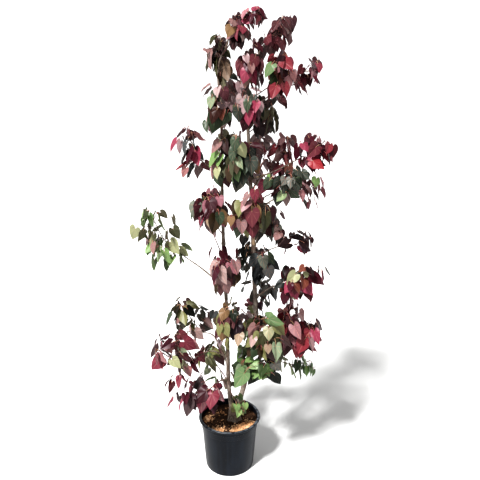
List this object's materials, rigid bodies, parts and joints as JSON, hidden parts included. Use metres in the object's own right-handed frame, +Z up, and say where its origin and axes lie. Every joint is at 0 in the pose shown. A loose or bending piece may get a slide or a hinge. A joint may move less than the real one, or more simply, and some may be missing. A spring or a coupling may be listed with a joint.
{
  "type": "potted redbud tree",
  "caption": "Young redbud tree in a round nursery pot: slender upright stems from a flared foot, thin boughs and masses of hanging heart-shaped leaves in red, mauve and green.",
  "frame": {"origin": "centre of the pot's flat underside", "axes": "+Z up along the stems, +X to the right and -Y towards the viewer in front view"},
  "size_m": [0.9165, 0.6464, 2.1237],
  "materials": {
    "pot_plastic": "moulded black, slightly shiny, faintly streaked",
    "potting_mix": "crumbly, matt, with orange-tan chips of wood and coir",
    "bark": "smooth grey-brown young bark with pale pores",
    "leaf_rose": "satin, rose pink, folded heart-shaped leaves",
    "leaf_maroon": "satin, dark burgundy, folded heart-shaped leaves",
    "leaf_crimson": "satin, crimson, folded heart-shaped leaves",
    "leaf_mauve": "satin, greyish mauve, folded heart-shaped leaves",
    "leaf_olive": "satin, olive, folded heart-shaped leaves",
    "leaf_green": "satin, fresh green, folded heart-shaped leaves",
    "leaf_deep_green": "satin, very dark green, folded heart-shaped leaves"
  },
  "bodies": {
    "root": {"pot": "pot_plastic", "soil": "potting_mix", "trunk_foot": "bark", "left_stem": "bark", "right_stem": "bark", "bough_right_top_twig": "bark", "bough_left_twig": "bark", "bough_right_crown_inner": "bark", "bough_right_crown_outer": "bark", "bough_right_mid_outer": "bark", "bough_band_back": "bark", "bough_right_small_twig": "bark", "bough_far_left": "bark", "bough_left_low_upper": "bark", "bough_left_low_outer": "bark", "bough_left_bottom": "bark", "bough_right_low_mid": "bark", "bough_right_bush_upper": "bark", "bough_right_low_twig": "bark", "bough_back_middle": "bark", "leaves_leader_tip": "leaf_rose", "leaves_left_top": "leaf_maroon", "leaves_left_shoulder": "leaf_mauve", "leaves_left_upper": "leaf_mauve", "leaves_right_leader": "leaf_maroon", "leaves_right_top": "leaf_maroon", "leaves_right_upper": "leaf_crimson", "leaves_right_top_twig": "leaf_rose", "leaves_centre_upper": "leaf_deep_green", "leaves_right_small": "leaf_deep_green", "leaves_left_middle": "leaf_olive", "leaves_left_twig": "leaf_crimson", "leaves_centre_middle": "leaf_deep_green", "leaves_right_crown_inner": "leaf_crimson", "leaves_right_crown_outer": "leaf_crimson", "leaves_right_middle": "leaf_deep_green", "leaves_right_mid_outer": "leaf_rose", "leaves_band_left": "leaf_mauve", "leaves_band_front": "leaf_olive", "leaves_band_back": "leaf_deep_green", "leaves_right_small_twig": "leaf_maroon", "leaves_centre_low": "leaf_deep_green", "leaves_far_left": "leaf_green", "leaves_left_stem_mid": "leaf_maroon", "leaves_left_stem_low": "leaf_olive", "leaves_left_low_upper": "leaf_mauve", "leaves_left_low_outer": "leaf_crimson", "leaves_left_low_inner": "leaf_olive", "leaves_left_bottom": "leaf_rose", "leaves_right_low_mid": "leaf_maroon", "leaves_centre_low_in": "leaf_deep_green", "leaves_right_bush_upper": "leaf_olive", "leaves_right_bush_inner": "leaf_rose", "leaves_right_bush_lower": "leaf_green", "leaves_right_low_twig": "leaf_crimson", "leaves_foot_leaves": "leaf_green", "leaves_back_upper": "leaf_mauve", "leaves_back_middle": "leaf_crimson", "leaves_back_low": "leaf_olive", "leaves_left_back": "leaf_mauve"}
  },
  "joints": []
}
